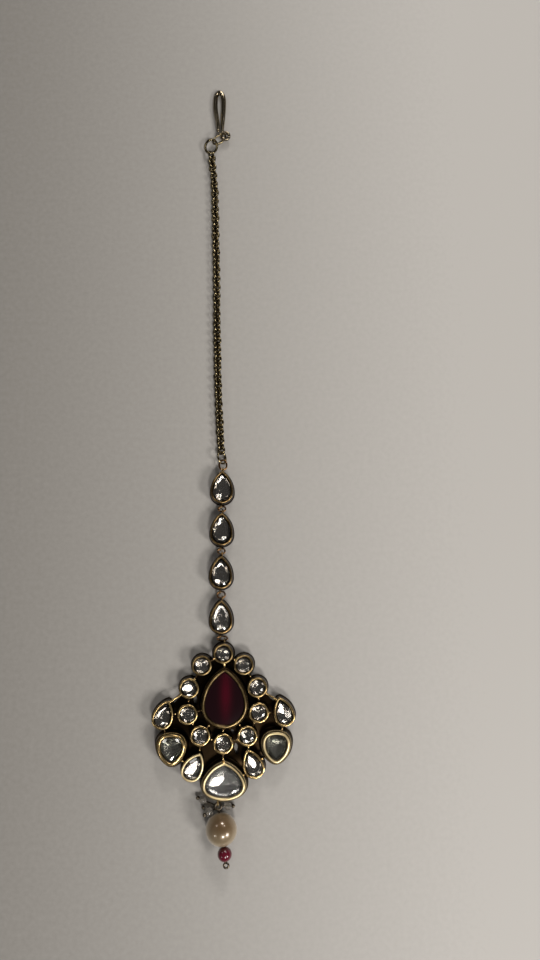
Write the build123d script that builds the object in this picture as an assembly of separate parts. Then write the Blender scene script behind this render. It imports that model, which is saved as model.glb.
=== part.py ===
from build123d import *
import math
import os

# A maang tikka lying flat: a gem-set pendant, four pear drops, a fine chain and a hair hook.
# Millimetres. X to the right, Y from the pendant up to the hook, Z up from the surface it lies on.
# The origin is the middle of the flat back of the ruby's setting.

# Stone outlines: corner circles (x, y, radius), anticlockwise, joined by bulging sides.
CUTS = {
    "round": {"corners": [(0, 0, 1.70)], "side": 0},
    "pear": {"corners": [(0, -0.95, 1.75), (0, 2.62, 0.12)], "side": 4.6},
    "drop": {"corners": [(0, -1.05, 2.12), (0, 3.22, 0.15)], "side": 5.5},
    "side": {"corners": [(0, -2.25, 0.65), (0.80, 0.85, 1.60), (-0.80, 0.85, 1.60)], "side": 4.4},
    "bottom": {"corners": [(0, 2.75, 0.55), (-2.05, -0.95, 2.05), (2.05, -0.95, 2.05)], "side": 6.4},
    "ruby": {"corners": [(0, -1.35, 4.45), (0, 5.60, 0.25)], "side": 9.0},
}

# Settings: rim is the width of the rolled rim round the stone, flare how far the foot stands out
# past the rim, band the height of the foot's upright edge.
SETTINGS = {
    "round": {"height": 3.4, "rim": 0.60, "flare": 0.35, "band": 0.5},
    "pear": {"height": 3.4, "rim": 0.60, "flare": 0.35, "band": 0.5},
    "drop": {"height": 3.2, "rim": 0.55, "flare": 0.32, "band": 0.5},
    "side": {"height": 4.0, "rim": 0.70, "flare": 0.85, "band": 1.1},
    "bottom": {"height": 4.0, "rim": 0.60, "flare": 0.80, "band": 1.1},
    "ruby": {"height": 4.0, "rim": 0.65, "flare": 0.75, "band": 1.2},
}

# Pendant stones: name, cut, x, y, turn in degrees.
PENDANT = [
    ("ruby", "ruby", 0.00, 0.00, 0),
    ("round_stone_1", "round", -0.35, 9.90, 0),
    ("round_stone_2", "round", -5.25, 7.30, 0),
    ("round_stone_3", "round", 4.35, 7.40, 0),
    ("round_stone_4", "round", -8.10, 2.25, 0),
    ("round_stone_5", "round", 7.45, 2.35, 0),
    ("round_stone_6", "round", -8.35, -3.50, 0),
    ("round_stone_7", "round", 7.80, -3.25, 0),
    ("round_stone_8", "round", -5.45, -8.20, 0),
    ("round_stone_9", "round", -0.25, -9.95, 0),
    ("round_stone_10", "round", 5.20, -8.30, 0),
    ("pear_stone_upper_left", "pear", -13.80, -3.60, -19),
    ("pear_stone_upper_right", "pear", 13.40, -3.10, 19),
    ("pear_stone_lower_left", "pear", -6.90, -15.00, -29),
    ("pear_stone_lower_right", "pear", 6.40, -14.40, 22),
    ("side_stone_left", "side", -11.90, -10.90, 0),
    ("side_stone_right", "side", 11.70, -10.60, 0),
    ("bottom_stone", "bottom", -0.05, -17.85, 0),
]

# Solder links between neighbouring settings, each where their rims come closest.
LINKS = [
    ("round_stone_1", "round_stone_2"),
    ("round_stone_1", "round_stone_3"),
    ("round_stone_2", "round_stone_4"),
    ("round_stone_3", "round_stone_5"),
    ("round_stone_4", "round_stone_6"),
    ("round_stone_5", "round_stone_7"),
    ("round_stone_6", "round_stone_8"),
    ("round_stone_7", "round_stone_10"),
    ("round_stone_8", "round_stone_9"),
    ("round_stone_9", "round_stone_10"),
    ("round_stone_4", "pear_stone_upper_left"),
    ("round_stone_5", "pear_stone_upper_right"),
    ("round_stone_6", "pear_stone_upper_left"),
    ("round_stone_7", "pear_stone_upper_right"),
    ("round_stone_8", "pear_stone_lower_left"),
    ("round_stone_10", "pear_stone_lower_right"),
    ("ruby", "round_stone_1"),
    ("ruby", "round_stone_6"),
    ("ruby", "round_stone_7"),
    ("ruby", "round_stone_8"),
    ("ruby", "round_stone_9"),
    ("ruby", "round_stone_10"),
    ("round_stone_9", "bottom_stone"),
    ("pear_stone_upper_left", "side_stone_left"),
    ("pear_stone_upper_right", "side_stone_right"),
    ("side_stone_left", "pear_stone_lower_left"),
    ("side_stone_right", "pear_stone_lower_right"),
    ("pear_stone_lower_left", "bottom_stone"),
    ("pear_stone_lower_right", "bottom_stone"),
]
LINK_RADIUS = 0.28
LINK_Z = 2.9
LINK_SUNK = 0.25  # how far a link runs into each rim

# Thin cast web between the settings, just clear of the back, out to lines through the outermost
# settings, with narrow openings beside the ruby and under it: x, y, length, width, turn in degrees.
WEB_BOTTOM = 0.15
WEB_THICKNESS = 0.8
WEB_CORNERS = ["round_stone_1", "round_stone_2", "round_stone_4", "pear_stone_upper_left", "side_stone_left",
               "pear_stone_lower_left", "bottom_stone", "pear_stone_lower_right", "side_stone_right",
               "pear_stone_upper_right", "round_stone_5", "round_stone_3"]
WEB_OPENINGS = [(-6.75, -0.60, 2.4, 1.0, 90), (1.85, -7.75, 1.5, 0.9, -60), (2.65, -11.40, 2.6, 1.1, -80)]

# Row of drops between pendant and chain, nearest the chain first: x, y of each setting.
DROPS = [(-0.85, 48.30), (-0.90, 38.35), (-1.00, 28.30), (-0.90, 18.05)]

# Stone and metal fit.
FLOOR = 0.9  # metal under a stone
STONE_GAP = 0.05
BEVEL = 0.35  # depth and width of the bevel inside a rim
ROUNDING = 0.18  # outer edge of a rim
CROWN = 0.45  # a stone's top facets, up from its girdle
CROWN_INSET = 0.75  # how far they lean in, or less at a sharp corner
INSET_SHARE = 0.8  # most of a corner's radius that they take away
GIRDLE_BELOW_RIM = 0.30
CUT_PAST = 1.0  # how far a cutting shape runs past the face that it opens

# Eyes stand upright on the ends of settings; oval jump rings lie flat through them.
EYE_RADIUS = 0.50
EYE_WIRE = 0.18
EYE_Z = 1.4
EYE_REACH = 0.33  # eye's centre, out from the wall
EYE_ASIDE = 0.22  # facing eyes stand side by side
RING_WIRE = 0.20
RING_SIDE_ROOM = 0.28

# Single rings: centre, half width, half length, wire radius, roll about Y, turn about Z.
RINGS = {
    "drop_top_ring": ((-0.67, 53.95, 1.41), 0.90, 1.20, 0.21, -10, 3),
    "chain_end_ring": ((-0.95, 55.76, 1.41), 1.32, 1.46, 0.24, 49, 10),
    "chain_top_ring": ((-4.10, 136.20, 1.19), 1.45, 1.90, 0.31, 3, -15),
    "hook_ring": ((-2.04, 138.23, 1.22), 1.10, 1.86, 0.24, 65, -56),
    "dangle_ring": ((-1.38, -23.65, 1.90), 0.80, 0.82, 0.14, 0, 0),
}

# Chain: the tube that its links fill, along its route.
CHAIN_RADIUS = 1.0
BEND_SHARE = 0.45  # share of the shorter of its two runs that a bend takes up
CHAIN_ROUTE = [(-1.18, 57.59), (-1.95, 70.0), (-2.28, 84.0), (-2.50, 100.0), (-2.88, 116.0),
               (-3.12, 126.4), (-4.05, 133.75)]

# Hair hook: one round wire, bent to a long narrow loop with an eye at its lower end.
HOOK_WIRE = 0.58
HOOK_EYE_WIRE = 0.45
HOOK_TOP_Z = 0.60
HOOK_EYE_Z = 1.15
HOOK_EYE = (-0.52, 139.12)
HOOK_EYE_RADIUS = 0.95
HOOK_EYE_TURN = 285
HOOK_TOP_Y = 151.54
HOOK_LEGS = [(-2.33, 140.60), (-2.40, 142.50), (-3.05, 146.50), (-3.10, 149.60), (-2.05, HOOK_TOP_Y),
             (-0.95, 149.60), (-0.98, 146.50), (-1.22, 142.50)]

# Pearl drop: pearl and red bead on a headpin. Its loop hangs in the upper of two eyes on the
# bottom setting, and the ring of small beads hangs in the lower one.
PEARL_RADIUS = 3.5
PEARL_AT = (-0.55, -28.15, PEARL_RADIUS)
RED_BEAD_RADIUS = 1.58
BEAD_GAP = 0.05
PIN_WIRE = 0.22
PIN_HOLE_GAP = 0.05
PIN_LEAN = 8.5  # degrees that the pin leans to the right, going away from the eyes
PIN_RISE = 3.0  # degrees that it rises
PIN_TOP_LOOP = 0.68
PIN_TAIL_LOOP = 0.52
PIN_PAST_BEAD = 0.25  # straight wire between the red bead and the tail loop
DROP_EYES = [(-22.57, 3.10, 0.68, 0.20), (-22.80, 1.90, 0.55, 0.18)]  # y, z, radius, wire

# Small glass beads on looped headpins: place round their ring, heading, drop below level and
# distance from loop to bead, in degrees and millimetres.
DANGLES = [
    {"round_ring": 158, "heading": 162, "drop": 14, "reach": 2.90},
    {"round_ring": 192, "heading": 189, "drop": 25, "reach": 1.60},
    {"round_ring": 4, "heading": -8, "drop": 25, "reach": 1.55},
    {"round_ring": 225, "heading": 198, "drop": -38, "reach": 1.80},
]
GLASS_BEAD_RADIUS = 0.88
DANGLE_LOOP = 0.32
DANGLE_WIRE = 0.12
DANGLE_BALL = 0.45
BALL_SEAT = 0.8  # share of the ball's radius between the bead and the ball's centre

nodes = {}


def corner_arcs(cut, grow):
    """Edges of a cut's outline, moved outwards by grow."""
    corners = CUTS[cut]["corners"]
    if len(corners) == 1:
        x, y, r = corners[0]
        return [Edge.make_circle(r + grow)]
    side = CUTS[cut]["side"]
    middles = []
    for (ax, ay, ar), (bx, by, br) in zip(corners, corners[1:] + corners[:1]):
        gap = math.hypot(bx - ax, by - ay)
        along = ((side - ar) ** 2 - (side - br) ** 2 + gap ** 2) / (2 * gap)
        across = math.sqrt((side - ar) ** 2 - along ** 2)
        ux, uy = (bx - ax) / gap, (by - ay) / gap
        middles.append((ax + along * ux - across * uy, ay + along * uy + across * ux))

    def arc(cx, cy, radius, start, end):
        while end < start:
            end += 2 * math.pi
        at = [Vector(cx + radius * math.cos(a), cy + radius * math.sin(a))
              for a in (start, (start + end) / 2, end)]
        return Edge.make_three_point_arc(*at)

    edges = []
    for i, (x, y, r) in enumerate(corners):
        before, after = middles[i - 1], middles[i]
        bx, by, _ = corners[(i + 1) % len(corners)]
        into = math.atan2(y - before[1], x - before[0])
        out = math.atan2(y - after[1], x - after[0])
        last = math.atan2(by - after[1], bx - after[0])
        edges.append(arc(x, y, r + grow, into, out))
        edges.append(arc(*after, side + grow, out, last))
    return edges


def outline(cut, grow, z):
    """Closed wire of a cut's outline at a height."""
    return Wire(corner_arcs(cut, grow)).moved(Location((0, 0, z)))


def stack(cut, levels):
    """Solid through the outlines at (grow, z) levels."""
    return Solid.make_loft([outline(cut, grow, z) for grow, z in levels], ruled=True)


def collet(cut):
    """Cup-shaped setting: flat back, flared foot, rolled rim and a well for the stone."""
    s = SETTINGS[cut]
    rim, flare, band, top = s["rim"], s["rim"] + s["flare"], s["band"], s["height"]
    body = stack(cut, [(flare, 0), (flare, band), (rim, top - ROUNDING), (rim - ROUNDING, top)])
    mouth = rim - ROUNDING - 0.5 * BEVEL
    well = stack(cut, [(mouth, top + 0.01), (STONE_GAP, top - BEVEL), (STONE_GAP, FLOOR)])
    return body - well


def gem(cut):
    """Stone with an upright body, a girdle and a flat-topped crown."""
    girdle = SETTINGS[cut]["height"] - GIRDLE_BELOW_RIM
    smallest = min(r for _, _, r in CUTS[cut]["corners"])
    inset = min(INSET_SHARE * smallest, CROWN_INSET)
    return stack(cut, [(0, FLOOR + STONE_GAP), (0, girdle), (-inset, girdle + CROWN)])


def torus(centre, axis, radius, wire):
    """Round ring of round wire."""
    return Solid.make_torus(radius, wire, Plane(origin=centre, z_dir=axis))


def oval_ring(centre, half_width, half_length, wire, roll, turn):
    """Oval ring of round wire, flat in XY before it is rolled about Y and turned about Z."""
    if half_width > half_length:
        path = Wire([Edge.make_ellipse(half_width, half_length, Plane.XY)])
    else:
        path = Wire([Edge.make_ellipse(half_length, half_width, Plane((0, 0, 0), x_dir=(0, 1, 0)))])
    section = Wire([Edge.make_circle(wire, Plane(origin=path @ 0, z_dir=path % 0))])
    ring = Solid.sweep(section, path)
    turned = Location((0, 0, 0), (0, 0, turn)) * Location((0, 0, 0), (0, roll, 0))
    return ring.moved(Location(centre) * turned)


def rod(start, end, radius):
    """Straight round wire between two points."""
    along = Vector(end) - Vector(start)
    return Solid.make_cylinder(radius, along.length, Plane(origin=start, z_dir=along))


def ball(centre, radius, axis):
    return Solid.make_sphere(radius, Plane(origin=centre, z_dir=axis), -90, 90, 360)


def swept(path, radius):
    """Round wire along a path."""
    section = Wire([Edge.make_circle(radius, Plane(origin=path @ 0, z_dir=path % 0))])
    return Solid.sweep(section, path)


def foot_at(cut, z):
    """How far a setting's wall stands out past the stone's outline at a height."""
    s = SETTINGS[cut]
    rise = (z - s["band"]) / (s["height"] - ROUNDING - s["band"])
    return s["rim"] + s["flare"] * (1 - rise)


def end_wall(cut, upward):
    """Y of a setting's wall at the height of its eye, above or below its own centre."""
    corners = CUTS[cut]["corners"]
    reach = foot_at(cut, EYE_Z)
    if upward:
        return max(y + r for _, y, r in corners) + reach
    return min(y - r for _, y, r in corners) - reach


def upright_eye(x, y):
    return torus((x, y, EYE_Z), (1, 0, 0), EYE_RADIUS, EYE_WIRE)


def clear_of_well(piece, cut, at):
    """Cut a fitting back from the space that the stone takes."""
    top = SETTINGS[cut]["height"] + CUT_PAST
    return piece - stack(cut, [(STONE_GAP, FLOOR), (STONE_GAP, top)]).moved(at)


def one_solid(shape):
    return max(shape.solids(), key=lambda s: s.volume)


# Stones and their settings. All the pendant's settings are soldered into one frame.
settings = {}
for name, cut, x, y, turn in PENDANT:
    at = Location((x, y, 0), (0, 0, turn))
    settings[name] = (cut, at)
    nodes[name] = gem(cut).moved(at)

frame_parts = [collet(cut).moved(at) for cut, at in settings.values()]
for first, second in LINKS:
    rims = []
    for name in (first, second):
        cut, at = settings[name]
        rims.append(outline(cut, SETTINGS[cut]["rim"], LINK_Z).moved(at))
    _, near, far = rims[0].distance_to_with_closest_points(rims[1])
    sunk = (far - near).normalized() * LINK_SUNK
    link = rod(near - sunk, far + sunk, LINK_RADIUS)
    for name in (first, second):
        link = clear_of_well(link, *settings[name])
    frame_parts.append(one_solid(link))

# The cast web fills the spaces between the settings at the back.
centres = {name: (x, y) for name, _, x, y, _ in PENDANT}
web_edge = Wire.make_polygon([(*centres[name], WEB_BOTTOM) for name in WEB_CORNERS])
web = Solid.extrude(Face(web_edge), Vector(0, 0, WEB_THICKNESS))
for x, y, length, width, turn in WEB_OPENINGS:
    opening = Solid.extrude(Face(Wire.make_ellipse(length / 2, width / 2)), Vector(0, 0, WEB_THICKNESS))
    web -= opening.moved(Location((x, y, WEB_BOTTOM), (0, 0, turn)))
for cut, at in settings.values():
    web = clear_of_well(web, cut, at)
frame_parts.append(web)

# Eye on the top round setting, for the ring of the lowest drop.
_, _, top_x, top_y, _ = PENDANT[1]
top_eye_y = top_y + end_wall("round", True) + EYE_REACH
frame_parts.append(clear_of_well(upright_eye(top_x + EYE_ASIDE, top_eye_y), *settings["round_stone_1"]))

# Two eyes below the bottom setting, one over the other.
pin_slope = math.tan(math.radians(PIN_LEAN))
eyes_x = PEARL_AT[0] - pin_slope * (DROP_EYES[0][0] - PEARL_AT[1])
for y, z, radius, wire in DROP_EYES:
    eye = torus((eyes_x, y, z), (1, 0, 0), radius, wire)
    frame_parts.append(clear_of_well(eye, *settings["bottom_stone"]))
nodes["pendant_frame"] = one_solid(frame_parts[0].fuse(*frame_parts[1:]))

# Drops: a setting with an eye at each end, and its stone.
eyes = []
for k, (x, y) in enumerate(DROPS, start=1):
    at = Location((x, y, 0))
    upper = (x + EYE_ASIDE, y + end_wall("drop", True) + EYE_REACH)
    lower = (x - EYE_ASIDE, y + end_wall("drop", False) - EYE_REACH)
    eyes += [upper, lower]
    fittings = [clear_of_well(upright_eye(*eye), "drop", at) for eye in (upper, lower)]
    nodes[f"drop_setting_{k}"] = one_solid(collet("drop").moved(at).fuse(*fittings))
    nodes[f"drop_stone_{k}"] = gem("drop").moved(at)
eyes.append((top_x + EYE_ASIDE, top_eye_y))

# Oval jump rings through each pair of facing eyes.
for k, (above, below) in enumerate(zip(eyes[1::2], eyes[2::2]), start=1):
    middle = ((above[0] + below[0]) / 2, (above[1] + below[1]) / 2, EYE_Z)
    half_length = (above[1] - below[1]) / 2
    half_width = abs(above[0] - below[0]) / 2 + EYE_WIRE + RING_WIRE + RING_SIDE_ROOM
    nodes[f"jump_ring_{k}"] = oval_ring(middle, half_width, half_length, RING_WIRE, 0, 0)
    print(f"jump_ring_{k} half width {half_width:.2f}, half length {half_length:.2f}")

for name, ring in RINGS.items():
    nodes[name] = oval_ring(*ring)

# Chain: straight runs joined by tangent arcs, each as large as its two runs allow.
runs = [math.dist(a, b) for a, b in zip(CHAIN_ROUTE, CHAIN_ROUTE[1:])]
headings = [math.atan2(b[1] - a[1], b[0] - a[0]) for a, b in zip(CHAIN_ROUTE, CHAIN_ROUTE[1:])]
bends = []
for k in range(1, len(runs)):
    turn = abs(headings[k] - headings[k - 1])
    bends.append(BEND_SHARE * min(runs[k - 1], runs[k]) / math.tan(turn / 2))
print("chain bend radii", [round(r, 1) for r in bends])
chain_path = FilletPolyline(*[(x, y, CHAIN_RADIUS) for x, y in CHAIN_ROUTE], radius=bends)
nodes["chain"] = swept(Wire(chain_path.edges()), CHAIN_RADIUS)
expected = math.pi * CHAIN_RADIUS ** 2 * chain_path.length
print(f"chain length {chain_path.length:.1f}, volume {nodes['chain'].volume:.1f} for {expected:.1f}")

# Hair hook: free leg, up and round the top, down the other leg and round the eye.
eye_x, eye_y = HOOK_EYE
slope = (HOOK_EYE_Z - HOOK_TOP_Z) / (HOOK_TOP_Y - eye_y)


def hook_point(x, y):
    return Vector(x, y, HOOK_TOP_Z + slope * (HOOK_TOP_Y - y))


loop = Edge.make_spline([hook_point(x, y) for x, y in HOOK_LEGS + [(eye_x - HOOK_EYE_RADIUS, eye_y)]],
                        tangents=[Vector(0, 1, 0), Vector(0, -1, slope)])
around = []
for step in (0.5, 1.0):
    angle = math.radians(180 + step * HOOK_EYE_TURN)
    around.append(hook_point(eye_x + HOOK_EYE_RADIUS * math.cos(angle), eye_y + HOOK_EYE_RADIUS * math.sin(angle)))
curl = Edge.make_three_point_arc(loop @ 1, *around)
shank = swept(Wire([loop]), HOOK_WIRE)
nodes["hair_hook"] = shank.fuse(swept(Wire([curl]), HOOK_EYE_WIRE))

# Pearl drop on its headpin. The far side of its loop lies in the upper eye.
down = Vector(0, -1, 0).rotate(Axis.X, -PIN_RISE).rotate(Axis.Z, PIN_LEAN)
loop_axis = Vector(0, 0, 1).rotate(Axis.X, -PIN_RISE).rotate(Axis.Z, PIN_LEAN)
pearl_at = Vector(*PEARL_AT)
bead_at = pearl_at + down * (PEARL_RADIUS + BEAD_GAP + RED_BEAD_RADIUS)
hole_reach = down * (PEARL_RADIUS + CUT_PAST)
hole = rod(pearl_at - hole_reach, bead_at + hole_reach, PIN_WIRE + PIN_HOLE_GAP)
nodes["pearl"] = ball(pearl_at, PEARL_RADIUS, down) - hole
nodes["red_bead"] = ball(bead_at, RED_BEAD_RADIUS, down) - hole
loop_at = pearl_at - down * (DROP_EYES[0][0] - PEARL_AT[1] - PIN_TOP_LOOP)
pin_end = bead_at + down * (RED_BEAD_RADIUS + PIN_PAST_BEAD)
top_loop = torus(loop_at, loop_axis, PIN_TOP_LOOP, PIN_WIRE)
tail_loop = torus(pin_end + down * PIN_TAIL_LOOP, loop_axis, PIN_TAIL_LOOP, PIN_WIRE)
shaft = rod(loop_at + down * PIN_TOP_LOOP, pin_end, PIN_WIRE)
nodes["drop_pin"] = one_solid(shaft.fuse(top_loop, tail_loop))

# Small glass beads. Each pin has a loop at one end, round the ring, and a ball at the other.
ring_at, ring_radius = RINGS["dangle_ring"][0], RINGS["dangle_ring"][1]
for k, dangle in enumerate(DANGLES, start=1):
    hang = Vector(*ring_at) + Vector(ring_radius, 0, 0).rotate(Axis.Z, dangle["round_ring"])
    out = Vector(1, 0, 0).rotate(Axis.Y, dangle["drop"]).rotate(Axis.Z, dangle["heading"])
    sideways = Vector(0, 1, 0).rotate(Axis.Z, dangle["heading"])
    bead = hang + out * dangle["reach"]
    end = bead + out * (GLASS_BEAD_RADIUS + BEAD_GAP + BALL_SEAT * DANGLE_BALL)
    pin = rod(hang + out * DANGLE_LOOP, end, DANGLE_WIRE)
    loop = torus(hang, sideways, DANGLE_LOOP, DANGLE_WIRE)
    nodes[f"bead_pin_{k}"] = one_solid(pin.fuse(loop, ball(end, DANGLE_BALL, out)))
    bead_reach = out * (GLASS_BEAD_RADIUS + CUT_PAST)
    drilled = rod(bead - bead_reach, bead + bead_reach, DANGLE_WIRE + PIN_HOLE_GAP)
    nodes[f"glass_bead_{k}"] = ball(bead, GLASS_BEAD_RADIUS, out) - drilled

os.makedirs("parts", exist_ok=True)
for name, shape in nodes.items():
    export_step(shape, f"parts/{name}.step")
print(len(nodes), "nodes")
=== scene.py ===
import bpy
import bmesh
import math
import random
from mathutils import Euler, Matrix, Vector


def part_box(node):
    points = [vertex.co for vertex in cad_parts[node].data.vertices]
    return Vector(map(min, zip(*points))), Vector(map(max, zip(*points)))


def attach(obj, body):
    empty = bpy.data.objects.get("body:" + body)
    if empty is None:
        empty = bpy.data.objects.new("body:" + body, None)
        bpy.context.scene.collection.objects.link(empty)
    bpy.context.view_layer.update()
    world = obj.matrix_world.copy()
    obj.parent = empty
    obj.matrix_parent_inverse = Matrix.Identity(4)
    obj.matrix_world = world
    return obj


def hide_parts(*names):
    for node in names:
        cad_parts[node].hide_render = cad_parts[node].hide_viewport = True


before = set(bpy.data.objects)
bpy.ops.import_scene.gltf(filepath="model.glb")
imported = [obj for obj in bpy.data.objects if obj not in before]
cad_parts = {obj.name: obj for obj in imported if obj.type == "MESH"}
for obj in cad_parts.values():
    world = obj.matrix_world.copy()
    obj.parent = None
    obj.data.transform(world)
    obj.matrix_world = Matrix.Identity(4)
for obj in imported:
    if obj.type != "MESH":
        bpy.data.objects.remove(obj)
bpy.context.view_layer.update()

# ---------------------------------------------------------------- camera
# The viewer stands over the lying ornament and looks nearly straight down at its middle. Sizes and
# places are in millimetres, and MM makes metres of them; what shader nodes read is in metres.
MM = 0.001
camera_data = bpy.data.cameras.new("camera")
camera_data.lens = 28.125
camera_data.sensor_width = 36.0
camera_data.clip_start = 0.005
camera = bpy.data.objects.new("camera", camera_data)
camera.location = Vector((5.8, 25.5, 179.0)) * MM
camera.rotation_euler = Euler([math.radians(a) for a in (7.97, -1.51, -0.21)])
bpy.context.scene.collection.objects.link(camera)
bpy.context.scene.camera = camera
bpy.context.scene.view_settings.view_transform = "Standard"


# ---------------------------------------------------------------- table top
# A pale, slightly warm laminate table top, matt with a faint speckle. Its colour darkens towards
# its left, in place of light that falls off there.
def new_material(name):
    """A material with a Principled shader; returns it with its node tree and shader."""
    material = bpy.data.materials.new(name)
    material.use_nodes = True
    tree = material.node_tree
    return material, tree, tree.nodes["Principled BSDF"]


def noise_node(tree, scale, detail=2):
    """A Noise texture."""
    node = tree.nodes.new("ShaderNodeTexNoise")
    node.inputs["Scale"].default_value = scale
    node.inputs["Detail"].default_value = detail
    return node


def placed(tree, *textures):
    """Ties textures to the object's own axes; returns the place along each axis."""
    where = tree.nodes.new("ShaderNodeTexCoord")
    axes = tree.nodes.new("ShaderNodeSeparateXYZ")
    for node in (axes, *textures):
        tree.links.new(where.outputs["Object"], node.inputs["Vector"])
    return axes.outputs


def add_piece(name, verts, faces, material, crisp=40, rubbed_and_lit=None):
    """A mesh object from millimetre vertices, with edges sharp past a number of degrees. How bright its
    finish is, from 0 to 1 at each vertex, is kept in the mesh: this is wear, and on the settings' rims also
    painted light."""
    mesh = bpy.data.meshes.new(name)
    mesh.from_pydata([Vector(v) * MM for v in verts], [], faces)
    mesh.materials.append(material)
    mesh.shade_smooth()
    mesh.set_sharp_from_angle(angle=math.radians(crisp))
    if rubbed_and_lit:
        wear_with_light = mesh.attributes.new("rubbed_and_lit", "FLOAT", "POINT")
        wear_with_light.data.foreach_set("value", rubbed_and_lit)
    piece = bpy.data.objects.new(name, mesh)
    bpy.context.scene.collection.objects.link(piece)
    return piece


TABLE_HALF = 900
DARKENED_HALF = 95  # the darkening runs this far to each side of the middle
laminate, tree, shader = new_material("table_laminate")
speckle = noise_node(tree, 900, 4)
axes = placed(tree, speckle)
# Painted shade: the base colour darkens towards the left, in place of light that falls off there.
painted_falloff = tree.nodes.new("ShaderNodeMapRange")
painted_falloff.interpolation_type = "SMOOTHSTEP"
painted_falloff.inputs["From Min"].default_value = -DARKENED_HALF * MM
painted_falloff.inputs["From Max"].default_value = DARKENED_HALF * MM
tone = tree.nodes.new("ShaderNodeMix")
tone.data_type = "RGBA"
tone.inputs["A"].default_value = (0.190, 0.178, 0.162, 1)
tone.inputs["B"].default_value = (0.515, 0.495, 0.470, 1)
fleck = tree.nodes.new("ShaderNodeMath")
fleck.operation = "MULTIPLY_ADD"
fleck.inputs[1].default_value = 0.20
tree.links.new(axes["X"], painted_falloff.inputs["Value"])
tree.links.new(speckle.outputs["Fac"], fleck.inputs[0])
tree.links.new(painted_falloff.outputs["Result"], fleck.inputs[2])
tree.links.new(fleck.outputs["Value"], tone.inputs["Factor"])
tree.links.new(tone.outputs["Result"], shader.inputs["Base Color"])
shader.inputs["Roughness"].default_value = 0.55
shader.inputs["Specular IOR Level"].default_value = 0.25
table_top = add_piece("table_top", [(-TABLE_HALF, -TABLE_HALF, 0), (TABLE_HALF, -TABLE_HALF, 0),
                                    (TABLE_HALF, TABLE_HALF, 0), (-TABLE_HALF, TABLE_HALF, 0)],
                      [(0, 1, 2, 3)], laminate)


# ---------------------------------------------------------------- light
# Ceiling lamps in two rows, the strongest behind the viewer's right shoulder, and little light
# from anywhere else.
world = bpy.data.worlds.new("world")
world.use_nodes = True
world.node_tree.nodes["Background"].inputs["Color"].default_value = (1.0, 0.98, 0.95, 1)
world.node_tree.nodes["Background"].inputs["Strength"].default_value = 0.05
bpy.context.scene.world = world

LAMPS = {  # direction from the ornament, distance and size in millimetres, power in watts
    "near": {"towards": (0.20, -0.56, 0.81), "distance": 1100, "size": 225, "power": 5.60},
    "far": {"towards": (0.12, 0.85, 0.53), "distance": 1000, "size": 190, "power": 2.30},
    "near_right": {"towards": (0.66, -0.40, 0.64), "distance": 1000, "size": 275, "power": 5.00},
    "near_left": {"towards": (-0.63, -0.47, 0.60), "distance": 600, "size": 105, "power": 0.22},
    "far_left": {"towards": (-0.53, 0.57, 0.60), "distance": 600, "size": 105, "power": 0.18},
    "far_right": {"towards": (0.37, 0.62, 0.69), "distance": 600, "size": 95, "power": 0.30},
}
for name, lamp in LAMPS.items():
    light = bpy.data.lights.new(name, "AREA")
    light.shape = "DISK"
    light.size = lamp["size"] * MM
    light.energy = lamp["power"]
    light.color = (1.0, 0.97, 0.93)
    holder = bpy.data.objects.new(name, light)
    holder.location = Vector(lamp["towards"]).normalized() * lamp["distance"] * MM
    holder.rotation_euler = holder.location.to_track_quat("Z", "Y").to_euler()
    bpy.context.scene.collection.objects.link(holder)


# ---------------------------------------------------------------- gold plate
# The settings are cast brass, gold plated, then darkened with an antique finish that is rubbed off again:
# bright on the rims that are touched, brown-black low down and between the settings. Painted light adds to
# this: the rims are brighter towards the pendant's foot, three low settings take a brighter copy of the gold
# and the drops take a darker one.
def group_socket(group, name, kind, out=False, value=None):
    """A named input or output of a node group."""
    socket = group.interface.new_socket(name, in_out="OUTPUT" if out else "INPUT", socket_type=kind)
    if value is not None:
        socket.default_value = value
    return socket


def math_node(tree, operation, *values):
    """A Math node whose inputs are sockets or numbers; returns its output."""
    node = tree.nodes.new("ShaderNodeMath")
    node.operation = operation
    for slot, value in zip(node.inputs, values):
        if isinstance(value, (int, float)):
            slot.default_value = value
        else:
            tree.links.new(value, slot)
    return node.outputs["Value"]


def mix_colour(tree, factor, first, second):
    """A mix of two colours, each a socket or a value; returns its output."""
    node = tree.nodes.new("ShaderNodeMix")
    node.data_type = "RGBA"
    tree.links.new(factor, node.inputs["Factor"])
    for slot, value in ((node.inputs["A"], first), (node.inputs["B"], second)):
        if isinstance(value, tuple):
            slot.default_value = value
        else:
            tree.links.new(value, slot)
    return node.outputs["Result"]


antique = bpy.data.node_groups.new("antique_finish", "ShaderNodeTree")
group_socket(antique, "Bright", "NodeSocketColor", value=(0.8, 0.6, 0.3, 1))
group_socket(antique, "Dark", "NodeSocketColor", value=(0.05, 0.03, 0.01, 1))
group_socket(antique, "Rubbed and lit", "NodeSocketFloat", value=1.0)
group_socket(antique, "Tarnish", "NodeSocketFloat", value=0.3)
group_socket(antique, "Satin", "NodeSocketFloat", value=0.3)
group_socket(antique, "Colour", "NodeSocketColor", out=True)
group_socket(antique, "Roughness", "NodeSocketFloat", out=True)
group_socket(antique, "Height", "NodeSocketFloat", out=True)
given = antique.nodes.new("NodeGroupInput")
result = antique.nodes.new("NodeGroupOutput")
place = antique.nodes.new("ShaderNodeTexCoord")
blotch = noise_node(antique, 700, 5)
grain = noise_node(antique, 4500, 3)
for texture in (blotch, grain):
    antique.links.new(place.outputs["Object"], texture.inputs["Vector"])
patchy = math_node(antique, "MULTIPLY_ADD", blotch.outputs["Fac"], 0.5,
                   math_node(antique, "SUBTRACT", given.outputs["Rubbed and lit"], 0.25))
stain = math_node(antique, "MULTIPLY", math_node(antique, "SUBTRACT", blotch.outputs["Fac"], 0.42), 4.0)
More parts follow.
